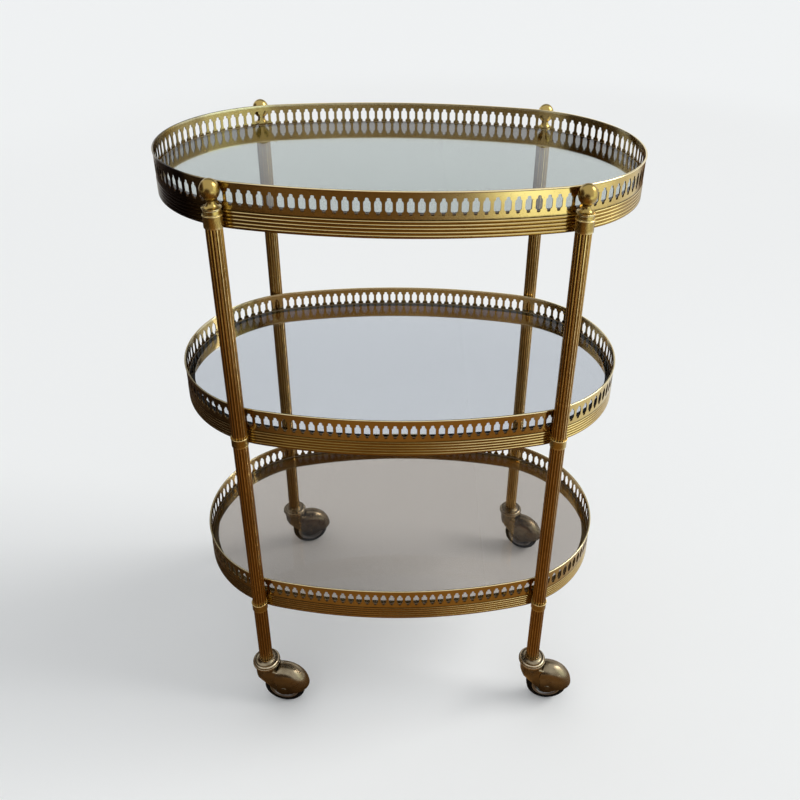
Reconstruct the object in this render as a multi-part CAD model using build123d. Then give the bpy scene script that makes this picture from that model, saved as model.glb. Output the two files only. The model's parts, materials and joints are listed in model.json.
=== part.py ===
from build123d import *
import math
import os

# A three-tier oval bar cart in brass. Millimetres, +Z up, the origin on the floor below the
# middle of the trays, X along the trays, the front at -Y.

# Trays: an oval of four tangent arcs, measured over the bead along the top of the gallery.
# The sides bow out by SIDE_BOW beyond the width that the two end circles have.
TRAY_LENGTH = 600.0
TRAY_WIDTH = 354.0
SIDE_BOW = 16.3
TIER_PITCH = 297.0
TIER_NAMES = ("bottom", "middle", "top")

# Gallery: a thin strip with a bead along its top edge and a row of tall openings, whose
# outline narrows by a shoulder to a rounded head at the top and at the bottom
GALLERY_HEIGHT = 33.5
GALLERY_THICKNESS = 1.2
BEAD_OVERHANG = 0.9
BEAD_HEIGHT = 2.2
OPENINGS_PER_QUARTER = 34
OPENING_WIDTH = 8.7
OPENING_TOP = 8.0
OPENING_BOTTOM = 27.6
SHOULDER_DROP = 5.2
HEAD_WIDTH = 4.2
HEAD_DROP = 2.8
CROWN_DROP = 1.0
HALF_STEP_TIERS = ("middle",)

# Frame: the reeded moulding below the gallery and the ledge that the glass lies on
REED_COUNT = 5
REED_PITCH = 4.2
REED_DEPTH = 0.8
REED_STANDOFF = 0.35
MOULDING_WALL = 2.3
LEDGE_WIDTH = 8.7
LEDGE_THICKNESS = 2.0
SEAT_CLEARANCE = 0.2

# Glass panes
GLASS_THICKNESS = 5.0
GLASS_CLEARANCE = 0.8
GLASS_ARRIS = 0.5

# Posts: fluted tubes that stand just outside the trays and butt inside collars
TUBE_RADIUS = 9.525
FLUTE_COUNT = 16
FLUTE_RADIUS = 1.75
FLUTE_DEPTH = 0.82
TUBE_WALL = 0.8
POST_GAP = 1.3
POST_ANGLE = 68.9

# Collars around the posts, level with the reeded mouldings
COLLAR_DROP = 36.5
COLLAR_HEIGHT = 13.0
COLLAR_WALL = 1.1
COLLAR_LIP = 0.55
COLLAR_LIP_HEIGHT = 1.2
COLLAR_CLEARANCE = 0.05
SLEEVE_WALL = 1.2

# Finials: an egg on a waisted neck, a flared flange and a ring with a lip
EGG_RADIUS = 11.0
EGG_HALF_HEIGHT = 12.5
EGG_CAP_RADIUS = 10.0
EGG_RISE = 5.5
NECK_RADIUS = 5.0
NECK_WAIST = 3.6
NECK_HEIGHT = 8.4
FLANGE_RADIUS = 10.8
FLANGE_EDGE = 1.4
FLANGE_GROOVE = 0.8
RING_RADIUS = 10.0
RING_HEIGHT = 5.5
RING_GROOVE = 0.6
RING_LIP_RADIUS = 10.5
RING_LIP_HEIGHT = 1.0
SPIGOT_LENGTH = 12.0
SPIGOT_CLEARANCE = 0.1

# Casters: wheel and tyre
WHEEL_RADIUS = 31.0
TYRE_SEAT_RADIUS = 23.5
TYRE_HALF_WIDTH = 8.9
TREAD_HALF_WIDTH = 4.6
TREAD_CROWN = 0.6
TYRE_SHOULDER = 4.6
SHOULDER_BOW = 1.2
RIM_THICKNESS = 3.4
RIM_BEVEL = 1.4
WEB_HALF_WIDTH = 2.6
HUB_RADIUS = 7.2
HUB_END_PLAY = 0.25
AXLE_RADIUS = 3.0
AXLE_HEAD_RADIUS = 4.6
AXLE_HEAD_HEIGHT = 1.2
RUNNING_CLEARANCE = 0.05

# Casters: the swivelling hood, a pressed ball over the wheel on two flat legs from a round neck.
# The ball's centre and the points of the lower edge are places from the axle.
CASTER_TRAIL = 26.0
HOOD_WALL = 1.8
TYRE_GAP = 3.1
TYRE_SIDE_GAP = 1.7
ARCH_GAP = 2.4
BALL_SHIFT = (-1.8, 2.4)
BALL_BULGE = 3.1
CHEEK_DISH = 10.0
CHEEK_SEAT_RADIUS = 8.0
COLUMN_RADIUS = 16.5
NECK_LENGTH = 13.5
NECK_STEP = 1.3
BRIDGE_DROP = 8.0
EDGE_FRONT = (-46.0, 35.5)
EDGE_FRONT_BOW = (-27.0, 13.0)
EDGE_LOBE_FRONT = (-8.3, -6.5)
EDGE_LOBE_FOOT = (0.0, -9.7)
EDGE_LOBE_REAR = (7.2, -7.5)
EDGE_REAR_BOW = (21.2, 0.4)
EDGE_TAIL = (41.0, 5.0)

# Casters: the swivel plate, and the cup that stays with the post and flares up to the tube
PLATE_RISE = 3.2
PLATE_THICKNESS = 3.2
PLATE_RADIUS = 18.8
PLATE_CHAMFER = 0.8
SWIVEL_GAP = 0.3
CUP_RADIUS = 20.0
CUP_FLANGE = 2.8
CUP_CHAMFER = 0.6
CUP_STEP_RADIUS = 18.6
CUP_CREST_RADIUS = 17.2
CUP_CREST = 5.8
CUP_CREST_BULGE = 0.7
CUP_VALLEY = (12.6, 6.6)
CUP_MOUTH = 10.3
CUP_LIP = 0.5
CUP_FLOOR = 2.0
PIN_RADIUS = 3.0
PIN_HEAD_RADIUS = 5.0
PIN_HEAD_HEIGHT = 2.6

# Heights: the foot is the length of tube from the cup's floor to the bottom tray's bead
FOOT_LENGTH = 163.0

# Corners, with the way that each caster trails, in degrees from +X towards +Y
CORNERS = {
    "front_left": (-1, -1, -7.0),
    "front_right": (1, -1, -5.0),
    "rear_left": (-1, 1, 14.0),
    "rear_right": (1, 1, -25.0),
}

# The oval follows from its length, its width and the bow of its sides
END_RADIUS = TRAY_WIDTH / 2 - SIDE_BOW
END_CENTRE = TRAY_LENGTH / 2 - END_RADIUS
SIDE_CENTRE = (END_CENTRE**2 - SIDE_BOW**2) / (2 * SIDE_BOW)
SIDE_RADIUS = TRAY_WIDTH / 2 + SIDE_CENTRE
END_HALF_ANGLE = math.degrees(math.atan2(SIDE_CENTRE, END_CENTRE))
SIDE_HALF_ANGLE = 90.0 - END_HALF_ANGLE

# Centre, radius, first angle and sweep of the two arcs of one quarter of the oval, from the
# middle of the right end to the middle of the rear side
QUARTER_ARCS = (
    ((END_CENTRE, 0.0), END_RADIUS, 0.0, END_HALF_ANGLE),
    ((0.0, -SIDE_CENTRE), SIDE_RADIUS, END_HALF_ANGLE, SIDE_HALF_ANGLE),
)

# Insets from the bead, and depths below it, through the tray's section
STRIP_OUTER = BEAD_OVERHANG
STRIP_INNER = STRIP_OUTER + GALLERY_THICKNESS
REED_CREST = REED_STANDOFF + SEAT_CLEARANCE
REED_ROOT = REED_CREST + REED_DEPTH
MOULDING_INNER = REED_ROOT + MOULDING_WALL
LEDGE_OUTER = STRIP_INNER + SEAT_CLEARANCE
LEDGE_INNER = LEDGE_OUTER + LEDGE_WIDTH
GLASS_INSET = STRIP_INNER + GLASS_CLEARANCE
BAND_HEIGHT = GALLERY_HEIGHT + REED_COUNT * REED_PITCH
LEDGE_DEPTH = GALLERY_HEIGHT - LEDGE_THICKNESS - SEAT_CLEARANCE
COLLAR_END = COLLAR_DROP + COLLAR_HEIGHT

# The hood follows from the wheel that it covers, and the heights of the caster from the hood
BALL_X = CASTER_TRAIL + BALL_SHIFT[0]
BALL_Z = WHEEL_RADIUS + BALL_SHIFT[1]
BALL_RADIUS = WHEEL_RADIUS + math.hypot(*BALL_SHIFT) + TYRE_GAP + HOOD_WALL
LEG_HALF_WIDTH = TYRE_HALF_WIDTH + TYRE_SIDE_GAP + HOOD_WALL
BALL_HALF_WIDTH = LEG_HALF_WIDTH + BALL_BULGE
PLATE_BOTTOM = BALL_Z + BALL_RADIUS + PLATE_RISE
PLATE_TOP = PLATE_BOTTOM + PLATE_THICKNESS
CUP_BOTTOM = PLATE_TOP + SWIVEL_GAP
TUBE_BOTTOM = CUP_BOTTOM + CUP_FLOOR
BOTTOM_RIM = TUBE_BOTTOM + FOOT_LENGTH
RIM_HEIGHTS = {name: BOTTOM_RIM + TIER_PITCH * i for i, name in enumerate(TIER_NAMES)}

# The tube's bore, and where each post stands
FLUTE_CENTRE = TUBE_RADIUS - FLUTE_DEPTH + FLUTE_RADIUS
TUBE_BORE = TUBE_RADIUS - FLUTE_DEPTH - TUBE_WALL
POST_REACH = END_RADIUS + POST_GAP + TUBE_RADIUS
POST_X = END_CENTRE + POST_REACH * math.cos(math.radians(POST_ANGLE))
POST_Y = POST_REACH * math.sin(math.radians(POST_ANGLE))


def mirrored(quarter):
    """The whole ring or sheet from its quarter at +X and +Y."""
    half = quarter + quarter.mirror(Plane.YZ)
    return half + half.mirror(Plane.XZ)


def quarter_ring(section):
    """Turns a section, drawn as inset against height, about the centre of each arc of a quarter."""
    ring = None
    for centre, radius, first, sweep in QUARTER_ARCS:
        angle = math.radians(first)
        outward = Vector(math.cos(angle), math.sin(angle), 0)
        plane = Plane(origin=(*centre, 0), x_dir=outward, z_dir=outward.cross(Vector(0, 0, 1)))
        placed = plane * Pos(radius, 0) * section.mirror(Plane.YZ)
        piece = revolve(placed, Axis((*centre, 0), (0, 0, 1)), sweep)
        ring = piece if ring is None else ring + piece
    return ring


def quarter_length():
    """The length of a quarter of the oval over the bead."""
    return sum(radius * math.radians(sweep) for _, radius, _, sweep in QUARTER_ARCS)


def quarter_place(distance):
    """The point at a distance along the quarter from the right end, and its outward angle."""
    centre, radius, first, sweep = QUARTER_ARCS[0]
    if distance > radius * math.radians(sweep):
        distance -= radius * math.radians(sweep)
        centre, radius, first, sweep = QUARTER_ARCS[1]
    angle = first + math.degrees(distance / radius)
    x = centre[0] + radius * math.cos(math.radians(angle))
    y = centre[1] + radius * math.sin(math.radians(angle))
    return x, y, angle


def opening():
    """A cutter for one opening, along +X, with heights measured down from the bead."""
    half_height = (OPENING_BOTTOM - OPENING_TOP) / 2
    right = [
        (HEAD_WIDTH / 2, half_height - CROWN_DROP),
        (HEAD_WIDTH / 2, half_height - HEAD_DROP),
        (OPENING_WIDTH / 2, half_height - SHOULDER_DROP),
    ]
    upper = [(0, half_height), *right]
    lower = [(x, -height) for x, height in reversed(upper)]
    left = [(-x, height) for x, height in reversed([*right, *lower[:-1]])]
    outline = Pos(0, -OPENING_TOP - half_height) * Polygon(*upper, *lower, *left, align=None)
    return extrude(Plane.YZ * outline, STRIP_INNER + GALLERY_THICKNESS, both=True)


def gallery(half_step):
    """The pierced strip with its bead, its top at height zero."""
    bead = ThreePointArc((STRIP_OUTER, 0), (0, -BEAD_HEIGHT / 2), (STRIP_OUTER, -BEAD_HEIGHT))
    strip = Polyline(
        (STRIP_OUTER, -BEAD_HEIGHT),
        (STRIP_OUTER, -GALLERY_HEIGHT),
        (STRIP_INNER, -GALLERY_HEIGHT),
        (STRIP_INNER, 0),
        (STRIP_OUTER, 0),
    )
    quarter = quarter_ring(make_face([bead, strip]))
    pitch = quarter_length() / OPENINGS_PER_QUARTER
    cutter = opening()
    cutters = []
    for index in range(OPENINGS_PER_QUARTER + 1):
        distance = (index + half_step) * pitch
        if distance < quarter_length() + pitch / 2:
            x, y, angle = quarter_place(distance)
            cutters.append(Pos(x, y, 0) * Rot(0, 0, angle) * cutter)
    return mirrored(quarter - cutters)


def frame():
    """The reeded moulding and its glass ledge, with heights measured down from the bead."""
    reeds = []
    for index in range(REED_COUNT):
        top = -GALLERY_HEIGHT - index * REED_PITCH
        reeds.append(
            ThreePointArc(
                (REED_ROOT, top),
                (REED_CREST, top - REED_PITCH / 2),
                (REED_ROOT, top - REED_PITCH),
            )
        )
    back = Polyline(
        (REED_ROOT, -BAND_HEIGHT),
        (MOULDING_INNER, -BAND_HEIGHT),
        (MOULDING_INNER, -LEDGE_DEPTH - LEDGE_THICKNESS),
        (LEDGE_INNER, -LEDGE_DEPTH - LEDGE_THICKNESS),
        (LEDGE_INNER, -LEDGE_DEPTH),
        (LEDGE_OUTER, -LEDGE_DEPTH),
        (LEDGE_OUTER, -GALLERY_HEIGHT),
        (REED_ROOT, -GALLERY_HEIGHT),
    )
    return mirrored(quarter_ring(make_face([*reeds, back])))


def glass():
    """One pane with ground edges, lying on the ledge."""
    arcs = [
        CenterArc((*centre, 0), radius - GLASS_INSET, first, sweep)
        for centre, radius, first, sweep in QUARTER_ARCS
    ]
    sides = Polyline(arcs[0] @ 0, (0, 0), arcs[1] @ 1)
    pane = mirrored(extrude(make_face([*arcs, sides]), GLASS_THICKNESS))
    rims = pane.edges().group_by(Axis.Z)[0] + pane.edges().group_by(Axis.Z)[-1]
    return Pos(0, 0, -LEDGE_DEPTH) * chamfer(rims, GLASS_ARRIS)


def tube(bottom, top):
    """A length of fluted tube on the Z axis."""
    flutes = PolarLocations(FLUTE_CENTRE, FLUTE_COUNT) * Circle(FLUTE_RADIUS)
    return Pos(0, 0, bottom) * extrude(Circle(TUBE_RADIUS) - flutes - Circle(TUBE_BORE), top - bottom)


def turned(points, *curves):
    """A turned piece from half its section, drawn as radius against height."""
    outline = make_face([Polyline(*points), *curves])
    return revolve(Plane.XZ * outline, Axis.Z)


def collar(wall, height):
    """A plain sleeve with a raised lip along its top, hanging below height zero."""
    bore = TUBE_RADIUS + COLLAR_CLEARANCE
    outer = bore + wall
    return turned(
        (
            (bore, 0),
            (outer + COLLAR_LIP, 0),
            (outer + COLLAR_LIP, -COLLAR_LIP_HEIGHT),
            (outer, -COLLAR_LIP_HEIGHT),
            (outer, -height),
            (bore, -height),
            (bore, 0),
        )
    )


def finial():
    """The egg, neck, flange, lipped ring and spigot; the top tray's bead is at height zero."""
    egg_centre = EGG_RISE - EGG_HALF_HEIGHT
    cap_rise = EGG_HALF_HEIGHT - EGG_CAP_RADIUS
    side_radius = EGG_RADIUS**2 + cap_rise**2 - EGG_CAP_RADIUS**2
    side_radius /= 2 * (EGG_RADIUS - EGG_CAP_RADIUS)
    side_centre = EGG_RADIUS - side_radius
    join = math.degrees(math.atan2(cap_rise, -side_centre))
    foot = math.degrees(math.acos((NECK_RADIUS - side_centre) / side_radius))
    neck_top = egg_centre - side_radius * math.sin(math.radians(foot))
    flange_top = neck_top - NECK_HEIGHT
    flange_bottom = flange_top - FLANGE_EDGE
    ring_top = flange_bottom - FLANGE_GROOVE
    ring_bottom = ring_top - RING_HEIGHT
    spigot = TUBE_BORE - SPIGOT_CLEARANCE
    cap = CenterArc((0, egg_centre + cap_rise), EGG_CAP_RADIUS, join, 90 - join)
    side = CenterArc((side_centre, egg_centre), side_radius, -foot, foot + join)
    neck = ThreePointArc(
        (NECK_RADIUS, neck_top),
        (NECK_RADIUS, neck_top - NECK_WAIST),
        (FLANGE_RADIUS, flange_top),
    )
    points = (
        (FLANGE_RADIUS, flange_top),
        (FLANGE_RADIUS, flange_bottom),
        (RING_RADIUS - RING_GROOVE, flange_bottom),
        (RING_RADIUS - RING_GROOVE, ring_top),
        (RING_RADIUS, ring_top),
        (RING_RADIUS, ring_bottom + RING_LIP_HEIGHT),
        (RING_LIP_RADIUS, ring_bottom + RING_LIP_HEIGHT),
        (RING_LIP_RADIUS, ring_bottom),
        (spigot, ring_bottom),
        (spigot, ring_bottom - SPIGOT_LENGTH),
        (0, ring_bottom - SPIGOT_LENGTH),
        (0, EGG_RISE),
    )
    return turned(points, cap, side, neck), ring_bottom


def cup():
    """The fixed cup: a stepped rim with a rounded crest, swept up to a lip round the tube."""
    bore = TUBE_RADIUS + COLLAR_CLEARANCE
    hole = PIN_RADIUS + RUNNING_CLEARANCE
    crest = SagittaArc(
        (CUP_STEP_RADIUS, CUP_FLANGE), (CUP_CREST_RADIUS, CUP_CREST), -CUP_CREST_BULGE
    )
    sweep = ThreePointArc((CUP_CREST_RADIUS, CUP_CREST), CUP_VALLEY, (bore + CUP_LIP, CUP_MOUTH))
    points = (
        (bore + CUP_LIP, CUP_MOUTH),
        (bore, CUP_MOUTH),
        (bore, CUP_FLOOR),
        (hole, CUP_FLOOR),
        (hole, 0),
        (CUP_RADIUS - CUP_CHAMFER, 0),
        (CUP_RADIUS, CUP_CHAMFER),
        (CUP_RADIUS, CUP_FLANGE - CUP_CHAMFER),
        (CUP_RADIUS - CUP_CHAMFER, CUP_FLANGE),
        (CUP_STEP_RADIUS, CUP_FLANGE),
    )
    return Pos(0, 0, CUP_BOTTOM) * turned(points, crest, sweep)


def on_axle(section):
    """Turns half a section, drawn as place along the axle against radius, about the axle."""
    body = revolve(Plane.YZ * section, Axis.Y)
    return Pos(CASTER_TRAIL, 0, WHEEL_RADIUS) * body


def drum(radius, half_width):
    """A plain cylinder about the axle."""
    return on_axle(Pos(0, radius / 2) * Rectangle(2 * half_width, radius))


def column(radius, top):
    """A plain cylinder about the swivel, up from the floor."""
    return Cylinder(radius, top, align=(Align.CENTER, Align.CENTER, Align.MIN))


def cheek(wall):
    """The cheek of the ball, a wall inside its outer surface: the end of the crown, and the seat."""
    crown = BALL_HALF_WIDTH - wall
    lean = math.radians(CHEEK_DISH)
    place = crown * math.cos(lean)
    radius = BALL_RADIUS - BALL_HALF_WIDTH - crown * math.sin(lean)
    seat = place - (radius - CHEEK_SEAT_RADIUS) * math.tan(lean)
    return place, radius, seat


def ball(wall):
    """The ball's form as a solid: a round crown between two cheeks dished towards the axle."""
    place, radius, seat = cheek(wall)
    crown = ThreePointArc((-place, radius), (0, BALL_RADIUS - wall), (place, radius))
    cheeks = Polyline(
        (place, radius),
        (seat, CHEEK_SEAT_RADIUS),
        (seat, 0),
        (-seat, 0),
        (-seat, CHEEK_SEAT_RADIUS),
        (-place, radius),
    )
    return Pos(BALL_X, 0, BALL_Z) * revolve(Plane.YZ * make_face([crown, cheeks]), Axis.Y)


def from_axle(shift):
    """A place beside the wheel, from its place relative to the axle."""
    return CASTER_TRAIL + shift[0], WHEEL_RADIUS + shift[1]


def open_side():
    """What is cut away below the hood's edge: along the legs, round the axle and up to the tail."""
    front = from_axle(EDGE_FRONT)
    lobe_front = from_axle(EDGE_LOBE_FRONT)
    lobe_rear = from_axle(EDGE_LOBE_REAR)
    tail = from_axle(EDGE_TAIL)
    edge = [
        ThreePointArc(front, from_axle(EDGE_FRONT_BOW), lobe_front),
        ThreePointArc(lobe_front, from_axle(EDGE_LOBE_FOOT), lobe_rear),
        ThreePointArc(lobe_rear, from_axle(EDGE_REAR_BOW), tail),
        Polyline(
            tail,
            (tail[0], -BALL_RADIUS),
            (front[0] - CUP_RADIUS, -BALL_RADIUS),
            (front[0] - CUP_RADIUS, front[1]),
            front,
        ),
    ]
    return extrude(Plane.XZ * make_face(edge), BALL_RADIUS, both=True)


def legs():
    """Two flat legs with a round front, as one slab, bridged behind the neck."""
    slab = Pos(0, 0, PLATE_BOTTOM / 2) * Box(2 * BALL_RADIUS, 2 * LEG_HALF_WIDTH, PLATE_BOTTOM)
    bridge = column(CUP_RADIUS + HOOD_WALL, PLATE_BOTTOM - BRIDGE_DROP)
    bridge = split(bridge, Plane.YZ, keep=Keep.TOP)
    return (column(COLUMN_RADIUS, PLATE_BOTTOM) + bridge) & slab


def hood():
    """The hood with its neck, swivel plate and riveted pin, trailing along +X."""
    neck = Pos(0, 0, PLATE_BOTTOM - NECK_LENGTH) * Cone(
        LEG_HALF_WIDTH,
        PLATE_RADIUS - NECK_STEP,
        NECK_LENGTH,
        align=(Align.CENTER, Align.CENTER, Align.MIN),
    )
    shell = ball(0) - column(CUP_RADIUS, PLATE_TOP) + legs() + neck
    hollow = ball(HOOD_WALL) - column(CUP_RADIUS + HOOD_WALL, PLATE_TOP)
    hollow += drum(WHEEL_RADIUS + ARCH_GAP, LEG_HALF_WIDTH - HOOD_WALL)
    bore = drum(AXLE_RADIUS + RUNNING_CLEARANCE, 2 * BALL_HALF_WIDTH)
    head_bottom = TUBE_BOTTOM + SWIVEL_GAP
    head_top = head_bottom + PIN_HEAD_HEIGHT
    plate = turned(
        (
            (0, PLATE_BOTTOM),
            (PLATE_RADIUS - PLATE_CHAMFER, PLATE_BOTTOM),
            (PLATE_RADIUS, PLATE_BOTTOM + PLATE_CHAMFER),
            (PLATE_RADIUS, PLATE_TOP - PLATE_CHAMFER),
            (PLATE_RADIUS - PLATE_CHAMFER, PLATE_TOP),
            (PIN_RADIUS, PLATE_TOP),
            (PIN_RADIUS, head_bottom),
            (PIN_HEAD_RADIUS, head_bottom),
            (PIN_HEAD_RADIUS, head_top - PIN_HEAD_HEIGHT / 2),
            (PIN_RADIUS, head_top),
            (0, head_top),
            (0, PLATE_BOTTOM),
        )
    )
    return shell - hollow - open_side() - bore + plate


def axle():
    """The axle with a low head outside each cheek of the hood."""
    head = cheek(0)[2]
    end = head + AXLE_HEAD_HEIGHT
    half = Polygon(
        (0, 0),
        (0, AXLE_RADIUS),
        (head, AXLE_RADIUS),
        (head, AXLE_HEAD_RADIUS),
        (end, AXLE_RADIUS),
        (end, 0),
        align=None,
    )
    return on_axle(half) + on_axle(half.mirror(Plane.YZ))


def hub():
    """The wheel's metal hub, web and bevelled rim."""
    length = cheek(HOOD_WALL)[2] - HUB_END_PLAY
    bore = AXLE_RADIUS + RUNNING_CLEARANCE
    rim = TYRE_SEAT_RADIUS
    inner = rim - RIM_THICKNESS
    half = Polygon(
        (0, bore),
        (length, bore),
        (length, HUB_RADIUS - RIM_BEVEL),
        (length - RIM_BEVEL, HUB_RADIUS),
        (WEB_HALF_WIDTH, HUB_RADIUS),
        (WEB_HALF_WIDTH, inner),
        (TYRE_HALF_WIDTH - RIM_BEVEL, inner),
        (TYRE_HALF_WIDTH, rim - RIM_BEVEL),
        (TYRE_HALF_WIDTH, rim),
        (0, rim),
        align=None,
    )
    return on_axle(half) + on_axle(half.mirror(Plane.YZ))


def tyre():
    """The tyre, with a rounded tread, seated on the rim."""
    edge = WHEEL_RADIUS - TREAD_CROWN
    shoulder = WHEEL_RADIUS - TYRE_SHOULDER
    tread = ThreePointArc((-TREAD_HALF_WIDTH, edge), (0, WHEEL_RADIUS), (TREAD_HALF_WIDTH, edge))
    near = SagittaArc((-TYRE_HALF_WIDTH, shoulder), (-TREAD_HALF_WIDTH, edge), SHOULDER_BOW)
    seat = Polyline(
        (TYRE_HALF_WIDTH, shoulder),
        (TYRE_HALF_WIDTH, TYRE_SEAT_RADIUS),
        (-TYRE_HALF_WIDTH, TYRE_SEAT_RADIUS),
        (-TYRE_HALF_WIDTH, shoulder),
    )
    return on_axle(make_face([near, tread, near.mirror(Plane.YZ), seat]))


def save(shape, name):
    """Writes one piece under its own name."""
    shape.label = name
    export_step(shape, f"parts/{name}.step")


def main():
    os.makedirs("parts", exist_ok=True)

    frame_solid = frame()
    glass_solid = glass()
    galleries = {half: gallery(half) for half in (0.0, 0.5)}
    for tier, height in RIM_HEIGHTS.items():
        half = 0.5 if tier in HALF_STEP_TIERS else 0.0
        save(Pos(0, 0, height) * galleries[half], f"gallery_{tier}")
        save(Pos(0, 0, height) * frame_solid, f"frame_{tier}")
        save(Pos(0, 0, height) * glass_solid, f"glass_{tier}")

    finial_solid, finial_base = finial()
    top_rim = RIM_HEIGHTS["top"]
    seat = top_rim + finial_base
    joints = [RIM_HEIGHTS[tier] - (COLLAR_DROP + COLLAR_END) / 2 for tier in ("bottom", "middle")]
    collar_solid = collar(COLLAR_WALL, COLLAR_HEIGHT)
    fixed = {
        "foot": tube(TUBE_BOTTOM, joints[0]),
        "post_lower": tube(joints[0], joints[1]),
        "post_upper": tube(joints[1], seat),
        "collar_low": Pos(0, 0, RIM_HEIGHTS["bottom"] - COLLAR_DROP) * collar_solid,
        "collar_mid": Pos(0, 0, RIM_HEIGHTS["middle"] - COLLAR_DROP) * collar_solid,
        "sleeve": Pos(0, 0, seat) * collar(SLEEVE_WALL, seat - (top_rim - COLLAR_END)),
        "finial": Pos(0, 0, top_rim) * finial_solid,
        "caster_cup": cup(),
    }
    turning = {
        "caster_hood": hood(),
        "caster_axle": axle(),
        "caster_hub": hub(),
        "caster_tyre": tyre(),
    }
    for corner, (side_x, side_y, trail) in CORNERS.items():
        place = Pos(side_x * POST_X, side_y * POST_Y, 0)
        for name, solid in fixed.items():
            save(place * solid, f"{name}_{corner}")
        for name, solid in turning.items():
            save(place * Rot(0, 0, trail) * solid, f"{name}_{corner}")


main()
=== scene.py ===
import bmesh
import bpy
import json
import math
import numpy as np
from mathutils import Matrix, Vector


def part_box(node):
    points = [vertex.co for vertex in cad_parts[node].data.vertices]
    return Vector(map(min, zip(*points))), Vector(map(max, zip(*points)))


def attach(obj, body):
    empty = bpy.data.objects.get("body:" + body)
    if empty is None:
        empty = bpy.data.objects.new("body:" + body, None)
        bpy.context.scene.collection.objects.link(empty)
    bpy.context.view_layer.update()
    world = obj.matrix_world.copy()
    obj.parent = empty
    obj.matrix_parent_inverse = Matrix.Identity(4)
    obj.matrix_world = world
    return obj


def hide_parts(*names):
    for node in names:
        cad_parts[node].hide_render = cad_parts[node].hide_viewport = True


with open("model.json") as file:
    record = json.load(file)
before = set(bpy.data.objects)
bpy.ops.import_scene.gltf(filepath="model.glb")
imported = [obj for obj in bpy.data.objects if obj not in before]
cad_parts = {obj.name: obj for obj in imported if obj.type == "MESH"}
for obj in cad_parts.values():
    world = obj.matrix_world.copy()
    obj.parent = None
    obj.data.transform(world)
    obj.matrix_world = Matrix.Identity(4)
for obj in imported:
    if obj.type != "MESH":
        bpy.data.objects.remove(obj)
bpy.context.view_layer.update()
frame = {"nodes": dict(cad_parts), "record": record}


# The view. The camera stands in front of the cart at a little over a metre, above the top tray,
# and looks down on it. The photograph is cropped off centre, so the lens is shifted by a little.
CAMERA_PLACE = (0.0137, -0.9634, 1.1369)
CAMERA_YAW = 0.0372
CAMERA_PITCH = 0.5081
CAMERA_ROLL = 0.0267
FOCAL_RATIO = 1.00025
CENTRE_RIGHT = 0.0476
CENTRE_UP = 0.1138
SENSOR_WIDTH = 36.0
FARTHEST_SEEN = 60.0

forward = Vector((
    math.sin(CAMERA_YAW) * math.cos(CAMERA_PITCH),
    math.cos(CAMERA_YAW) * math.cos(CAMERA_PITCH),
    -math.sin(CAMERA_PITCH),
))
level = Vector((math.cos(CAMERA_YAW), -math.sin(CAMERA_YAW), 0.0))
upright = level.cross(forward)
right = math.cos(CAMERA_ROLL) * level + math.sin(CAMERA_ROLL) * upright
upward = -math.sin(CAMERA_ROLL) * level + math.cos(CAMERA_ROLL) * upright
turn = Matrix((right, upward, -forward)).transposed()


def placed(name, data):
    """A new object in the scene, of a mesh, a lamp or a camera."""
    item = bpy.data.objects.new(name, data)
    bpy.context.scene.collection.objects.link(item)
    return item


lens = bpy.data.cameras.new("camera")
lens.sensor_width = SENSOR_WIDTH
lens.lens = SENSOR_WIDTH * FOCAL_RATIO
lens.shift_x = -CENTRE_RIGHT
lens.shift_y = -CENTRE_UP
lens.clip_end = FARTHEST_SEEN
camera = placed("camera", lens)
camera.matrix_world = Matrix.Translation(CAMERA_PLACE) @ turn.to_4x4()
bpy.context.scene.camera = camera


# The studio. The cart stands on a pale seamless sheet under an even pale sky. A low soft sun on
# the right throws its shadow to the left. Soft-edged cards, which only polished metal and glass
# see, give the brass its darks and its lights.
FLOOR_SIZE = 40.0
FLOOR_COLOUR = (0.93, 0.935, 0.92)
FLOOR_ROUGHNESS = 0.9
CARD_ROUGHNESS = 1.0
CARD_EDGE = 0.45
WORLD_COLOUR = (0.95, 0.97, 1.0)
WORLD_STRENGTH = 0.68
BACKGROUND_STRENGTH = 0.90
SUN_STRENGTH = 1.5
SUN_SOFTNESS = math.radians(30)
SUN_FROM = (0.85, 0.07, 0.62)
# Each card's colour, glow, middle and reach along each axis.
CARDS = {
    "felt_front": ((0.15, 0.08, 0.026), 0.0, (-1.6, -2.8, 0.004), (3.2, 2.4, 0.0)),
    "felt_near": ((0.29, 0.15, 0.044), 0.0, (-0.35, -0.75, 0.005), (1.5, 1.25, 0.0)),
    "felt_left": ((0.045, 0.022, 0.009), 0.0, (-1.85, 0.2, 0.006), (2.0, 2.6, 0.0)),
    "felt_rear": ((0.15, 0.08, 0.028), 0.0, (0.4, 2.4, 0.007), (2.4, 1.9, 0.0)),
    "felt_wall": ((0.10, 0.055, 0.022), 0.0, (-1.3, -3.8, 0.5), (2.9, 0.0, 1.9)),
    "felt_side": ((0.05, 0.026, 0.01), 0.0, (-3.7, -0.3, 1.2), (0.0, 3.6, 2.6)),
    "felt_back": ((0.24, 0.25, 0.26), 0.0, (0.0, 4.2, 5.1), (6.0, 0.0, 3.0)),
    "window": ((0.90, 1.0, 0.94), 0.9, (2.2, -0.8, 1.1), (0.0, 1.3, 1.4)),
    "window_floor": ((0.88, 1.0, 0.90), 1.15, (1.9, -2.1, 0.008), (1.3, 1.3, 0.0)),
}

bpy.context.scene.view_settings.view_transform = "Standard"


def plain_material(name, colour, roughness):
    """A plain surface of one colour."""
    material = bpy.data.materials.new(name)
    material.use_nodes = True
    shader = material.node_tree.nodes["Principled BSDF"]
    shader.inputs["Base Color"].default_value = (*colour, 1.0)
    shader.inputs["Roughness"].default_value = roughness
    return material


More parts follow.
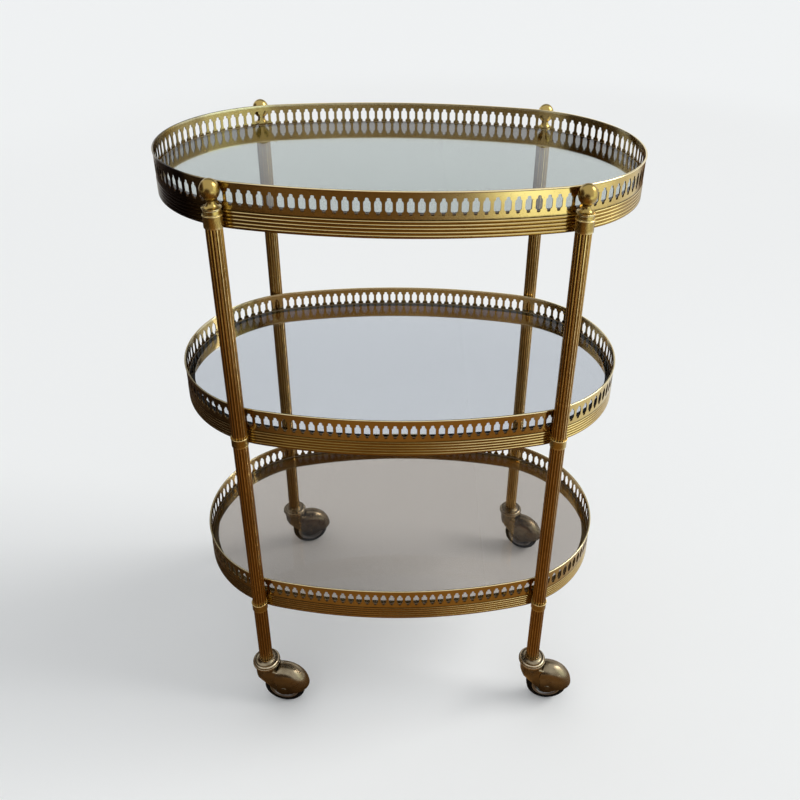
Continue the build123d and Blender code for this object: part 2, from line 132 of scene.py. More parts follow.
def sheet_of(name, middle, reach, material):
    """A flat sheet about its middle, with no reach along the axis that it faces."""
    middle, reach = np.array(middle), np.array(reach, float)
    first, second = np.diag(reach)[reach > 0]
    corners = [middle - first - second, middle + first - second, middle + first + second]
    corners.append(middle - first + second)
    mesh = bpy.data.meshes.new(name)
    mesh.from_pydata([tuple(corner) for corner in corners], [], [(0, 1, 2, 3)])
    mesh.materials.append(material)
    sheet = placed(name, mesh)
    return sheet


floor_paper = plain_material("floor_paper", FLOOR_COLOUR, FLOOR_ROUGHNESS)
sheet_of("floor", (0, 0, 0), (FLOOR_SIZE / 2, FLOOR_SIZE / 2, 0), floor_paper)


def link(tree, source, target):
    """Joins two sockets."""
    tree.links.new(source, target)


for card_name, (colour, glow, middle, reach) in CARDS.items():
    card_paper = plain_material(card_name, colour, CARD_ROUGHNESS)
    tree = card_paper.node_tree
    place = tree.nodes.new("ShaderNodeTexCoord")
    centred = tree.nodes.new("ShaderNodeMapping")
    centred.vector_type = "TEXTURE"
    centred.inputs["Location"].default_value = middle
    centred.inputs["Scale"].default_value = [side or 1.0 for side in reach]
    round_fade = tree.nodes.new("ShaderNodeTexGradient")
    round_fade.gradient_type = "SPHERICAL"
    soft_edge = tree.nodes.new("ShaderNodeMapRange")
    soft_edge.interpolation_type = "SMOOTHSTEP"
    soft_edge.inputs["From Max"].default_value = CARD_EDGE
    link(tree, place.outputs["Object"], centred.inputs["Vector"])
    link(tree, centred.outputs["Vector"], round_fade.inputs["Vector"])
    link(tree, round_fade.outputs["Fac"], soft_edge.inputs["Value"])
    path = tree.nodes.new("ShaderNodeLightPath")
    mirrored = tree.nodes.new("ShaderNodeMath")
    mirrored.operation = "MINIMUM"
    mirrored.inputs[1].default_value = 1.0
    cover = tree.nodes.new("ShaderNodeMath")
    cover.operation = "MULTIPLY"
    link(tree, path.outputs["Glossy Depth"], mirrored.inputs[0])
    link(tree, soft_edge.outputs["Result"], cover.inputs[0])
    link(tree, mirrored.outputs["Value"], cover.inputs[1])
    paper_shader = tree.nodes["Principled BSDF"]
    paper_shader.inputs["Emission Color"].default_value = (*colour, 1.0)
    paper_shader.inputs["Emission Strength"].default_value = glow
    link(tree, cover.outputs["Value"], paper_shader.inputs["Alpha"])
    card = sheet_of(card_name, middle, reach, card_paper)
    card.visible_camera = False
    card.visible_diffuse = False
    card.visible_shadow = False

world = bpy.data.worlds.new("studio")
world.use_nodes = True
sky = world.node_tree.nodes["Background"]
sky.inputs["Color"].default_value = (*WORLD_COLOUR, 1.0)
ray = world.node_tree.nodes.new("ShaderNodeLightPath")
seen = world.node_tree.nodes.new("ShaderNodeMath")
seen.operation = "MAXIMUM"
seen_through = world.node_tree.nodes.new("ShaderNodeMath")
seen_through.operation = "MAXIMUM"
brightness = world.node_tree.nodes.new("ShaderNodeMapRange")
brightness.inputs["To Min"].default_value = WORLD_STRENGTH
brightness.inputs["To Max"].default_value = BACKGROUND_STRENGTH
link(world.node_tree, ray.outputs["Is Camera Ray"], seen.inputs[0])
link(world.node_tree, ray.outputs["Is Glossy Ray"], seen.inputs[1])
link(world.node_tree, seen.outputs["Value"], seen_through.inputs[0])
link(world.node_tree, ray.outputs["Is Transmission Ray"], seen_through.inputs[1])
link(world.node_tree, seen_through.outputs["Value"], brightness.inputs["Value"])
link(world.node_tree, brightness.outputs["Result"], sky.inputs["Strength"])
bpy.context.scene.world = world


def aimed(place, target):
    """The turn that points a lamp's -Z axis from its place to its target."""
    return (Vector(target) - Vector(place)).to_track_quat("-Z", "Y").to_matrix().to_4x4()


sun = bpy.data.lights.new("sun", "SUN")
sun.energy = SUN_STRENGTH
sun.angle = SUN_SOFTNESS
placed("sun", sun).matrix_world = aimed(SUN_FROM, (0, 0, 0))


# The pierced galleries. Each is one strip of brass, stamped with a row of tall openings and
# turned over along the top into a bead, and it stands on the reeded frame round its tray.
MILLIMETRE = 0.001
END_RADIUS = 0.1607
OPENINGS = 136
STRIP_FACE = 0.0009
STRIP_BACK = 0.0021
BEAD_HEIGHT = 0.0022
OPENING_MIDDLE = 0.0178
CELL_HALF_HEIGHT = 0.0112
OPENING_QUARTER = (
    (3.95, 0), (3.95, 3.3), (3.75, 5.0), (3.1, 5.95),
    (2.1, 6.5), (1.95, 8.7), (1.4, 9.6), (0, 9.85),
)
CELL_SIDE_HEIGHTS = (0, 3.2, 6.4, 9.0)
CELL_TOP_PLACES = (3.6, 1.9, 0)
UNDER_BEAD = 0.0034
BEAD_STEPS = 9
BACK_EASE = 0.0003
MERGE_WITHIN = 2e-6
SHARP_EDGE = math.radians(30)
OUTLINE_SAMPLES = 20001
# Painted shade round the left end of each tray: where it starts, how far it spreads, and how dark
# it is on each tier.
TARNISH_FROM = 0.14
TARNISH_SPREAD = 0.10
TRAY_TIERS = {"top": 0.0, "middle": 0.5, "bottom": 0.0}
TARNISH_OF_TIER = {"top": 1.0, "middle": 0.5, "bottom": 0.4}

bead_low, bead_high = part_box("gallery_top")
half_length, half_width = bead_high.x, bead_high.y
GALLERY_HEIGHT = bead_high.z - bead_low.z


def round_oval(share, inset):
    """The tray's outline, four tangent arcs, as x, y and the outward direction.

    share runs from 0 to 1 along the outline, anticlockwise from the middle of the right end, and
    inset moves the line inwards. Each point lies on the arc that its distance falls on: the arc's
    centre plus its radius, less the inset, along the outward direction.
    """
    end_centre = half_length - END_RADIUS
    rise = half_width - END_RADIUS
    side_centre = (end_centre**2 - rise**2) / (2 * rise)
    side_radius = half_width + side_centre
    end_angle = math.atan2(side_centre, end_centre)
    side_angle = math.pi / 2 - end_angle
    quarter = END_RADIUS * end_angle + side_radius * side_angle
    distance = np.mod(share, 1.0) * 4 * quarter
    bends = np.cumsum([
        END_RADIUS * end_angle,
        2 * side_radius * side_angle,
        2 * END_RADIUS * end_angle,
        2 * side_radius * side_angle,
        END_RADIUS * end_angle,
    ])
    arc = np.minimum(np.searchsorted(bends, distance, side="right"), 4)
    start = np.concatenate([[0.0], bends])[arc]
    radius = np.array([END_RADIUS, side_radius, END_RADIUS, side_radius, END_RADIUS])[arc]
    centre_x = np.array([end_centre, 0.0, -end_centre, 0.0, end_centre])[arc]
    centre_y = np.array([0.0, -side_centre, 0.0, side_centre, 0.0])[arc]
    half_turn = math.pi
    first = np.array([
        0.0, end_angle, half_turn - end_angle, half_turn + end_angle, 2 * half_turn - end_angle,
    ])[arc]
    angle = first + (distance - start) / radius
    outward_x, outward_y = np.cos(angle), np.sin(angle)
    x = centre_x + (radius - inset) * outward_x
    y = centre_y + (radius - inset) * outward_y
    return x, y, outward_x, outward_y


def outline_length():
    """The length of the tray's outline, measured in fine steps."""
    x, y, _, _ = round_oval(np.linspace(0, 1, OUTLINE_SAMPLES), 0.0)
    return float(np.hypot(np.diff(x), np.diff(y)).sum())


PERIMETER = outline_length()


def grid_faces(rows, columns, wrap_rows=False, wrap_columns=False, first=0):
    """Quads between neighbouring points of a grid, row by row."""
    row = np.arange(rows if wrap_rows else rows - 1)[:, None]
    column = np.arange(columns if wrap_columns else columns - 1)[None, :]
    next_row = (row + 1) % rows
    next_column = (column + 1) % columns
    quads = np.stack([
        row * columns + column,
        row * columns + next_column,
        next_row * columns + next_column,
        next_row * columns + column,
    ], axis=-1)
    return quads.reshape(-1, 4) + first


def mark_points(mesh, **masks):
    """Stores a value at each point of a mesh under each mask's name, for its material to read."""
    for label, values in masks.items():
        if values is not None:
            mask = mesh.attributes.new(label, "FLOAT", "POINT")
            mask.data.foreach_set("value", np.asarray(values, np.float32).ravel())


def make_piece(name, points, quads, materials, maps=None, wear=None, tarnish=None, kinds=None):
    """A closed smooth-shaded mesh object from arrays, with edges over 30 degrees kept sharp.

    maps become the piece's own map: two lengths in metres at each point. wear runs
    from 0 in a groove to 1 on a rubbed crest and on a painted highlight, and tarnish,
    tarnish and painted shade together, from 0 to 1. kinds gives each face its material.
    """
    mesh = bpy.data.meshes.new(name)
    mesh.from_pydata(points.reshape(-1, 3).tolist(), [], quads.tolist())
    if maps is not None:
        layer = mesh.uv_layers.new(name="along")
        corner = np.empty(len(mesh.loops), np.int32)
        mesh.loops.foreach_get("vertex_index", corner)
        layer.data.foreach_set("uv", maps.reshape(-1, 2)[corner].astype(np.float32).ravel())
    mark_points(mesh, wear=wear, tarnish=tarnish)
    if kinds is not None:
        mesh.polygons.foreach_set("material_index", kinds.astype(np.int32))
    shape = bmesh.new()
    shape.from_mesh(mesh)
    bmesh.ops.remove_doubles(shape, verts=shape.verts, dist=MERGE_WITHIN)
    bmesh.ops.recalc_face_normals(shape, faces=shape.faces)
    shape.to_mesh(mesh)
    shape.free()
    mesh.shade_smooth()
    mesh.set_sharp_from_angle(angle=SHARP_EDGE)
    for material in materials:
        mesh.materials.append(material)
    return placed(name, mesh)


def stands_for(piece, node, body):
    """Puts a piece in the place of a solid, which it hides, under the body that it moves with."""
    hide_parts(node)
    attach(piece, body)


def carried_round_oval(inset, height, stations):
    """A closed section carried round the outline: inset and height at each of its points."""
    share = (np.arange(stations) / stations)[:, None]
    x, y, _, _ = round_oval(share, inset[None, :])
    z = np.broadcast_to(height[None, :], x.shape)
    return np.stack([x, y, z], axis=-1)


SPECK_SCALE = 420.0
SHAKE_SCALE = 160.0
BROAD_SCALE = 14.0
CLOUD_RANGE = (0.36, 0.66)
SPECK_RANGE = (0.62, 0.74, 0.5)
BROAD_RANGE = (0.25, 0.6)
CLEAN_WEAR = (0.10, 0.42)
RUBBED_WEAR = (0.84, 1.0)
WEAR_SHAKE = 0.14
TARNISH_SHAKE = 0.35
FILM_DULLS = 0.10
DIRT_DULLS = 0.2


def ageing_group():
    """Old lacquered brass: brown film in clouds, dirt in the grooves, pale where it is rubbed.

    Broad noise and fine specks make the film, which mixes the body colour into the film colour.
    Wear and painted highlight, shaken by fine noise, mix dirt in below a third and the rubbed
    colour in near one. Tarnish and painted shade, shaken by broad noise, darken what is left. Film
    and dirt dull the polish, and fine noise drawn out along Vector gives the height of the rubbed
    streaks.
    """
    tree = bpy.data.node_groups.new("brass_ageing", "ShaderNodeTree")
    face = tree.interface
    for socket, kind, value in (
        ("Vector", "NodeSocketVector", (0, 0, 0)),
        ("Wear", "NodeSocketFloat", 0.5),
        ("Tarnish", "NodeSocketFloat", 0.0),
        ("Rubbed", "NodeSocketColor", (0.6, 0.42, 0.16, 1)),
        ("Body", "NodeSocketColor", (0.35, 0.22, 0.07, 1)),
        ("Film", "NodeSocketColor", (0.16, 0.08, 0.02, 1)),
        ("Dirt", "NodeSocketColor", (0.03, 0.015, 0.006, 1)),
        ("Clouds", "NodeSocketFloat", 9.0),
        ("Cover", "NodeSocketFloat", 0.5),
        ("Polish", "NodeSocketFloat", 0.2),
    ):
        item = face.new_socket(socket, in_out="INPUT", socket_type=kind)
        item.default_value = value
    face.new_socket("Color", in_out="OUTPUT", socket_type="NodeSocketColor")
    face.new_socket("Roughness", in_out="OUTPUT", socket_type="NodeSocketFloat")
    face.new_socket("Height", in_out="OUTPUT", socket_type="NodeSocketFloat")
    given = tree.nodes.new("NodeGroupInput")
    made = tree.nodes.new("NodeGroupOutput")
    place = tree.nodes.new("ShaderNodeTexCoord")

    def noise(vector, scale, detail):
        """Noise of one scale, a number or a socket."""
        texture = tree.nodes.new("ShaderNodeTexNoise")
        texture.inputs["Detail"].default_value = detail
        link(tree, vector, texture.inputs["Vector"])
        if isinstance(scale, float):
            texture.inputs["Scale"].default_value = scale
        else:
            link(tree, scale, texture.inputs["Scale"])
        return texture.outputs["Fac"]

    def ranged(value, low, high, top=1.0):
        """A value from low to high, spread from 0 to top with soft ends."""
        spread = tree.nodes.new("ShaderNodeMapRange")
        spread.interpolation_type = "SMOOTHSTEP"
        spread.inputs["From Min"].default_value = low
        spread.inputs["From Max"].default_value = high
        spread.inputs["To Max"].default_value = top
        link(tree, value, spread.inputs["Value"])
        return spread.outputs["Result"]

    def sum_of(operation, first, second, third=None):
        """One step of arithmetic on sockets or numbers, kept between 0 and 1."""
        step = tree.nodes.new("ShaderNodeMath")
        step.operation = operation
        step.use_clamp = True
        for index, value in enumerate((first, second, third)):
            if isinstance(value, float):
                step.inputs[index].default_value = value
            elif value is not None:
                link(tree, value, step.inputs[index])
        return step.outputs["Value"]

    def mixed(factor, first, second):
        """The first colour turning into the second."""
        mix = tree.nodes.new("ShaderNodeMix")
        mix.data_type = "RGBA"
        link(tree, factor, mix.inputs["Factor"])
        link(tree, first, mix.inputs["A"])
        link(tree, second, mix.inputs["B"])
        return mix.outputs["Result"]

    here = place.outputs["Object"]
    clouds = ranged(noise(here, given.outputs["Clouds"], detail=6.0), *CLOUD_RANGE)
    specks = ranged(noise(here, SPECK_SCALE, detail=3.0), *SPECK_RANGE)
    film = sum_of("MULTIPLY_ADD", clouds, given.outputs["Cover"], specks)
    shake = noise(here, SHAKE_SCALE, detail=4.0)
    shaken = sum_of("MULTIPLY_ADD", shake, WEAR_SHAKE, given.outputs["Wear"])
    clean = ranged(shaken, *CLEAN_WEAR)
    rubbed = ranged(shaken, *RUBBED_WEAR)
    broad = ranged(noise(here, BROAD_SCALE, detail=5.0), *BROAD_RANGE)
    patches = sum_of("MULTIPLY_ADD", broad, TARNISH_SHAKE, 1 - TARNISH_SHAKE)
    dark = sum_of("MULTIPLY", given.outputs["Tarnish"], patches)

    colour = mixed(film, given.outputs["Body"], given.outputs["Film"])
    colour = mixed(clean, given.outputs["Dirt"], colour)
    colour = mixed(rubbed, colour, given.outputs["Rubbed"])
    colour = mixed(dark, colour, given.outputs["Dirt"])
    link(tree, colour, made.inputs["Color"])

    dull = sum_of("MULTIPLY_ADD", film, FILM_DULLS, given.outputs["Polish"])
    soiled = sum_of("MULTIPLY_ADD", clean, -DIRT_DULLS, DIRT_DULLS)
    link(tree, sum_of("ADD", dull, soiled), made.inputs["Roughness"])
    link(tree, noise(given.outputs["Vector"], 1.0, detail=4.0), made.inputs["Height"])
    return tree


ageing = ageing_group()
FINE_GRAIN = (160.0, 160.0, 160.0)
DENT_DEPTH = 0.002


def aged_metal(
    name, rubbed, body, film, dirt, cover, polish,
    clouds=9.0, streaks=None, bump=0.02, tarnishes=True,
):
    """Old brass or bronze for one kind of piece, with streaks along its own map if it has one.

    cover is how much of it the film covers, polish its roughness where it is bare, and clouds
    and streaks are scales of noise.
    """
    material = bpy.data.materials.new(name)
    material.use_nodes = True
    tree = material.node_tree
    shader = tree.nodes["Principled BSDF"]
    shader.inputs["Metallic"].default_value = 1.0
    aged = tree.nodes.new("ShaderNodeGroup")
    aged.node_tree = ageing
    for socket, colour in (("Rubbed", rubbed), ("Body", body), ("Film", film), ("Dirt", dirt)):
        aged.inputs[socket].default_value = (*colour, 1.0)
    aged.inputs["Cover"].default_value = cover
    aged.inputs["Polish"].default_value = polish
    aged.inputs["Clouds"].default_value = clouds
    for socket in ("Wear", "Tarnish") if tarnishes else ("Wear",):
        mask = tree.nodes.new("ShaderNodeAttribute")
        mask.attribute_name = socket.lower()
        link(tree, mask.outputs["Fac"], aged.inputs[socket])
    place = tree.nodes.new("ShaderNodeTexCoord")
    stretch = tree.nodes.new("ShaderNodeMapping")
    stretch.inputs["Scale"].default_value = streaks or FINE_GRAIN
    link(tree, place.outputs["UV" if streaks else "Object"], stretch.inputs["Vector"])
    link(tree, stretch.outputs["Vector"], aged.inputs["Vector"])
    link(tree, aged.outputs["Color"], shader.inputs["Base Color"])
    link(tree, aged.outputs["Roughness"], shader.inputs["Roughness"])
    dents = tree.nodes.new("ShaderNodeBump")
    dents.inputs["Strength"].default_value = bump
    dents.inputs["Distance"].default_value = DENT_DEPTH
    link(tree, aged.outputs["Height"], dents.inputs["Height"])
    link(tree, dents.outputs["Normal"], shader.inputs["Normal"])
    return material


ALONG_STRIP = (30.0, 900.0, 1.0)
gallery_brass = aged_metal(
    "gallery_brass", rubbed=(0.95, 0.80, 0.48), body=(0.64, 0.48, 0.19), film=(0.38, 0.225, 0.06),
    dirt=(0.012, 0.005, 0.002), cover=0.48, polish=0.10, clouds=7.0, streaks=ALONG_STRIP,
)
inside_brass = aged_metal(
    "inside_brass", rubbed=(0.95, 0.82, 0.52), body=(0.62, 0.46, 0.19), film=(0.36, 0.22, 0.065),
    dirt=(0.05, 0.03, 0.012), cover=0.55, polish=0.12, clouds=7.0, streaks=ALONG_STRIP,
    # The inside faces take neither tarnish nor painted shade.
    tarnishes=False,
)
pierced_edge = aged_metal(
    "pierced_edge", rubbed=(0.35, 0.22, 0.08), body=(0.14, 0.08, 0.03), film=(0.06, 0.03, 0.012),
    dirt=(0.02, 0.01, 0.005), cover=0.5, polish=0.35,
)


def four_way(quarter):
    """A closed outline, anticlockwise, from its quarter between the right side and the top."""
    quarter = np.array(quarter)
    upper = np.concatenate([quarter, quarter[-2::-1] * (-1, 1)])
    return np.concatenate([upper, -upper[1:-1]])


def opening_and_cell(cell_width):
    """One opening and the cell of strip round it, as two closed outlines about its middle.

    The opening is a plump oblong with shoulders and a rounded head at both ends. The cell is the
    rectangle between the middles of two bars, with as many points as the opening has.
    """
    sides = [(cell_width, height * MILLIMETRE) for height in CELL_SIDE_HEIGHTS]
    corner = (cell_width, CELL_HALF_HEIGHT)
    tops = [(place * MILLIMETRE, CELL_HALF_HEIGHT) for place in CELL_TOP_PLACES]
    return four_way(OPENING_QUARTER) * MILLIMETRE, four_way([*sides, corner, *tops])


# The strip's three finishes, in the order of its materials.
FACE, EDGE, INSIDE = 0, 1, 2


def pierced_strip(half_step, top):
    """The gallery as one closed mesh: a row of pierced cells, with plain brass below and a bead.

    Each cell is a ring of quads from the opening's edge out to the cell's border, on the face and
    on the back, with the opening's wall between. The plain strip and the bead are a section
    carried round the oval that meets the cells' borders.
    """
    edge, cell = opening_and_cell(PERIMETER / OPENINGS / 2)
    count = len(edge)

    along = np.stack([edge[:, 0], cell[:, 0]])
    height = np.stack([edge[:, 1], cell[:, 1]]) - OPENING_MIDDLE
    share = (np.arange(OPENINGS)[:, None, None] + half_step) / OPENINGS + along[None] / PERIMETER
    points, maps = [], []
    for inset in (STRIP_FACE, STRIP_BACK):
        x, y, _, _ = round_oval(share, inset)
        z = np.broadcast_to(top + height[None], x.shape)
        points.append(np.stack([x, y, z], axis=-1))
        maps.append(np.stack([share * PERIMETER, z], axis=-1))
    points = np.stack(points, axis=1)
    maps = np.stack(maps, axis=1)

    step = np.arange(count)
    following = (step + 1) % count
    face_edge, face_cell = step, count + step
    back_edge, back_cell = 2 * count + step, 3 * count + step
    face = np.stack([face_edge, face_cell, face_cell[following], face_edge[following]], axis=-1)
    back = np.stack([back_edge[following], back_cell[following], back_cell, back_edge], axis=-1)
    wall = np.stack([face_edge, face_edge[following], back_edge[following], back_edge], axis=-1)
    one = np.concatenate([face, back, wall])
    one_kinds = np.repeat([FACE, INSIDE, EDGE], count)
    quads = (one[None] + (np.arange(OPENINGS) * 4 * count)[:, None, None]).reshape(-1, 4)

    bead = np.linspace(-math.pi / 2, math.pi / 2, BEAD_STEPS)
    bead_inset = STRIP_FACE * (1 - np.cos(bead))
    bead_drop = BEAD_HEIGHT / 2 * (np.sin(bead) - 1)
    cell_top = CELL_HALF_HEIGHT - OPENING_MIDDLE
    cell_foot = -CELL_HALF_HEIGHT - OPENING_MIDDLE
    upper = np.concatenate([
        [[STRIP_FACE, cell_top], [STRIP_FACE, -UNDER_BEAD]],
        np.stack([bead_inset, bead_drop], axis=-1),
        [[STRIP_BACK - BACK_EASE, 0.0], [STRIP_BACK, -BACK_EASE], [STRIP_BACK, cell_top]],
    ])
    lower = np.array([
        [STRIP_BACK, cell_foot],
        [STRIP_BACK, -GALLERY_HEIGHT],
        [STRIP_FACE, -GALLERY_HEIGHT],
        [STRIP_FACE, cell_foot],
    ])
    on_top = np.sort(cell[np.isclose(cell[:, 1], CELL_HALF_HEIGHT), 0])
    stops = (np.arange(OPENINGS)[:, None] + half_step) / OPENINGS + on_top[None, :-1] / PERIMETER
    stops = stops.ravel()
    start = OPENINGS * 4 * count
    all_points, all_maps, all_quads = [points.reshape(-1, 3)], [maps.reshape(-1, 2)], [quads]
    for section in (upper, lower):
        x, y, _, _ = round_oval(stops[:, None], section[None, :, 0])
        z = np.broadcast_to(top + section[None, :, 1], x.shape)
        all_points.append(np.stack([x, y, z], axis=-1).reshape(-1, 3))
        lengths = np.broadcast_to(stops[:, None] * PERIMETER, x.shape)
        all_maps.append(np.stack([lengths, z], axis=-1).reshape(-1, 2))
        rows, columns = x.shape
        all_quads.append(grid_faces(rows, columns, wrap_rows=True, first=start))
        start += rows * columns
    upper_kinds = [FACE] * (len(upper) - 2) + [INSIDE]
    lower_kinds = [INSIDE, FACE, FACE]
    kinds = [
        np.tile(one_kinds, OPENINGS),
        np.tile(upper_kinds, len(stops)),
        np.tile(lower_kinds, len(stops)),
    ]
    return tuple(np.concatenate(part) for part in (all_points, all_quads, all_maps, kinds))


def left_end(points):
    """How far a point is round the left end of a tray, where painted shade darkens the outer brass
    as if it mirrored a dark room.
    """
    return np.clip((-points[..., 0] - TARNISH_FROM) / TARNISH_SPREAD, 0, 1)


WEAR_DEPTHS = (0.0, 0.0012, 0.0023, 0.0034, 0.0066, 0.0280, 0.0310, 0.0335)
WEAR_AT_DEPTHS = (1.0, 0.95, 0.05, 0.55, 0.60, 0.60, 0.45, 0.05)
for tier, half_step in TRAY_TIERS.items():
    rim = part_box(f"gallery_{tier}")[1].z
    points, quads, maps, kinds = pierced_strip(half_step, rim)
    wear = np.interp(rim - points[:, 2], WEAR_DEPTHS, WEAR_AT_DEPTHS)
    # Painted shade: the outer faces darken round the left end.
    tarnish = TARNISH_OF_TIER[tier] * left_end(points)
    brasses = [gallery_brass, pierced_edge, inside_brass]
    strip = make_piece(
        f"pierced_gallery_{tier}", points, quads, brasses, maps, wear, tarnish, kinds
    )
    stands_for(strip, f"gallery_{tier}", "cart")


# The reeded frames. Each is a rolled brass moulding with five half-round reeds outside, and a
# flat ledge inside that the glass lies on. The gallery is let into its top edge and soldered.
REED_COUNT = 5
REED_STEPS = 10
MOULDING_CREST = 0.00055
MOULDING_ROOT = 0.00135
MOULDING_BACK = 0.00365
LEDGE_TOP = 0.0313
LEDGE_FOOT = 0.0333
LEDGE_OUTER = 0.0023
LEDGE_INNER = 0.0110
FRAME_STATIONS = 544
BAND_FOOT = bead_high.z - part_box("frame_top")[0].z
REED_ROUNDNESS = 0.75
# Along each reed, from its top down: dirt darkens the grooves, and a pale line on the upper flank,
# which faces the sky, is painted highlight.
REED_PHASES = (0, 0.1, 0.2, 0.27, 0.4, 0.8, 1)
WEAR_AT_PHASES = (0.08, 0.5, 1.0, 0.9, 0.6, 0.4, 0.08)
WEAR_BEHIND = (0.4, 0.5, 0.6, 0.6, 0.55, 0.5)

reed = np.linspace(0, 1, REED_COUNT * REED_STEPS + 1)
reed_wave = np.abs(np.sin(np.pi * REED_COUNT * reed)) ** REED_ROUNDNESS
reeded = np.stack([
    MOULDING_ROOT - (MOULDING_ROOT - MOULDING_CREST) * reed_wave,
    -GALLERY_HEIGHT - (BAND_FOOT - GALLERY_HEIGHT) * reed,
], axis=-1)
behind = np.array([
    [MOULDING_BACK, -BAND_FOOT],
    [MOULDING_BACK, -LEDGE_FOOT],
    [LEDGE_INNER, -LEDGE_FOOT],
    [LEDGE_INNER, -LEDGE_TOP],
    [LEDGE_OUTER, -LEDGE_TOP],
    [LEDGE_OUTER, -GALLERY_HEIGHT],
])
moulding = np.concatenate([reeded, behind])
reed_wear = np.interp((reed * REED_COUNT) % 1, REED_PHASES, WEAR_AT_PHASES)
moulding_wear = np.concatenate([reed_wear, WEAR_BEHIND])

# Its rubbed colour also paints the highlight on the reeds' upper flanks.
frame_brass = aged_metal(
    "frame_brass", rubbed=(0.96, 0.78, 0.41), body=(0.42, 0.265, 0.062), film=(0.22, 0.112, 0.02),
    dirt=(0.01, 0.004, 0.001), cover=0.6, polish=0.12, clouds=8.0, streaks=(20.0, 700.0, 1.0),
)
for tier in TRAY_TIERS:
    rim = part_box(f"gallery_{tier}")[1].z
    points = carried_round_oval(moulding[:, 0], rim + moulding[:, 1], FRAME_STATIONS)
    lengths = np.arange(FRAME_STATIONS)[:, None] / FRAME_STATIONS * PERIMETER
    maps = np.stack([np.broadcast_to(lengths, points.shape[:2]), points[..., 2]], axis=-1)
    quads = grid_faces(*points.shape[:2], wrap_rows=True, wrap_columns=True)
    wear = np.broadcast_to(moulding_wear, points.shape[:2])
    # The reeds darken round the left end as painted shade.
    band = make_piece(
        f"reeded_frame_{tier}", points, quads, [frame_brass], maps, wear,
        TARNISH_OF_TIER[tier] * left_end(points),
    )
    stands_for(band, f"frame_{tier}", "cart")


# The glass. Three panes of clear float glass, five millimetres thick, with ground and polished
# edges, lie loose on the ledges inside the galleries.
# The panes differ in tone as painted light: the bottom one darker and warmer as painted shade, the
# middle one paler and bluer as painted reflection.
PANE_TINTS = {
    "top": (0.50, 0.55, 0.53),
    "middle": (0.67, 0.70, 0.745),
    "bottom": (0.545, 0.505, 0.47),
}
GLASS_INSET = 0.0029
GLASS_ARRIS = 0.0005
GLASS_STATIONS = 272
GLASS_ROUGHNESS = 0.02
GLASS_INDEX = 1.5
GLASS_SPECULAR = 0.2
GRIND_SCALE = 300.0
GRIND_ROUGHNESS = 0.4
GRIND_DARK = (0.10, 0.062, 0.03, 1)
GRIND_PALE = (0.24, 0.17, 0.10, 1)



def mottled(name, scale, dark, pale):
    """A surface that fine noise mottles from dark to pale: its material, its noise, its tones."""
    material = bpy.data.materials.new(name)
    material.use_nodes = True
    tree = material.node_tree
    place = tree.nodes.new("ShaderNodeTexCoord")
    grain = tree.nodes.new("ShaderNodeTexNoise")
    grain.inputs["Scale"].default_value = scale
    tones = tree.nodes.new("ShaderNodeValToRGB")
    tones.color_ramp.elements[0].color = dark
    tones.color_ramp.elements[1].color = pale
    link(tree, place.outputs["Object"], grain.inputs["Vector"])
    link(tree, grain.outputs["Fac"], tones.inputs["Fac"])
    link(tree, tones.outputs["Color"], tree.nodes["Principled BSDF"].inputs["Base Color"])
    return material, grain, tones


ground_edge, _, _ = mottled("ground_edge", GRIND_SCALE, GRIND_DARK, GRIND_PALE)
edge_shader = ground_edge.node_tree.nodes["Principled BSDF"]
edge_shader.inputs["Roughness"].default_value = GRIND_ROUGHNESS

for tier, tint in PANE_TINTS.items():
    pane_glass = bpy.data.materials.new(f"pane_glass_{tier}")
    pane_glass.use_nodes = True
    glass_shader = pane_glass.node_tree.nodes["Principled BSDF"]
    glass_shader.inputs["Base Color"].default_value = (*tint, 1.0)
    glass_shader.inputs["Roughness"].default_value = GLASS_ROUGHNESS
    glass_shader.inputs["Transmission Weight"].default_value = 1.0
    glass_shader.inputs["IOR"].default_value = GLASS_INDEX
    glass_shader.inputs["Specular IOR Level"].default_value = GLASS_SPECULAR
    pane_low, pane_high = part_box(f"glass_{tier}")
    section = np.array([
        [GLASS_INSET + GLASS_ARRIS, pane_high.z],
        [GLASS_INSET, pane_high.z - GLASS_ARRIS],
        [GLASS_INSET, pane_low.z + GLASS_ARRIS],
        [GLASS_INSET + GLASS_ARRIS, pane_low.z],
    ])
    points = carried_round_oval(section[:, 0], section[:, 1], GLASS_STATIONS)
    quads = grid_faces(GLASS_STATIONS, len(section), wrap_rows=True)
    upper = np.arange(GLASS_STATIONS) * len(section)
    lower = upper[::-1] + len(section) - 1
    faces = quads.tolist() + [upper.tolist(), lower.tolist()]
    mesh = bpy.data.meshes.new(f"glass_pane_{tier}")
    mesh.from_pydata(points.reshape(-1, 3).tolist(), [], faces)
    mesh.materials.append(pane_glass)
    mesh.materials.append(ground_edge)
    mesh.polygons.foreach_set("material_index", [1] * len(quads) + [0, 0])
    pane = placed(f"glass_pane_{tier}", mesh)
    pane.visible_diffuse = False
    stands_for(pane, f"glass_{tier}", "cart")


# The posts. Each is drawn brass tube with sixteen flutes, in three lengths, a foot, a lower post
# and an upper post, which butt inside the collars.
CORNERS = ("front_left", "front_right", "rear_left", "rear_right")
TUBE_RADIUS = 0.009525
FLUTES = 16
FLUTE_STEPS = 8
FLUTE_RADIUS = 0.00175
FLUTE_DEPTH = 0.00082
TUBE_BORE = 0.0079
FLUTE_SHARES = (0, 0.25, 0.6, 0.9, 1)
WEAR_AT_SHARES = (0.16, 0.34, 0.6, 0.7, 0.86)

post_brass = aged_metal(
    "post_brass", rubbed=(0.95, 0.72, 0.35), body=(0.38, 0.215, 0.048), film=(0.21, 0.10, 0.018),
    dirt=(0.02, 0.008, 0.002), cover=0.6, polish=0.14, clouds=10.0, streaks=(300.0, 12.0, 1.0),
)


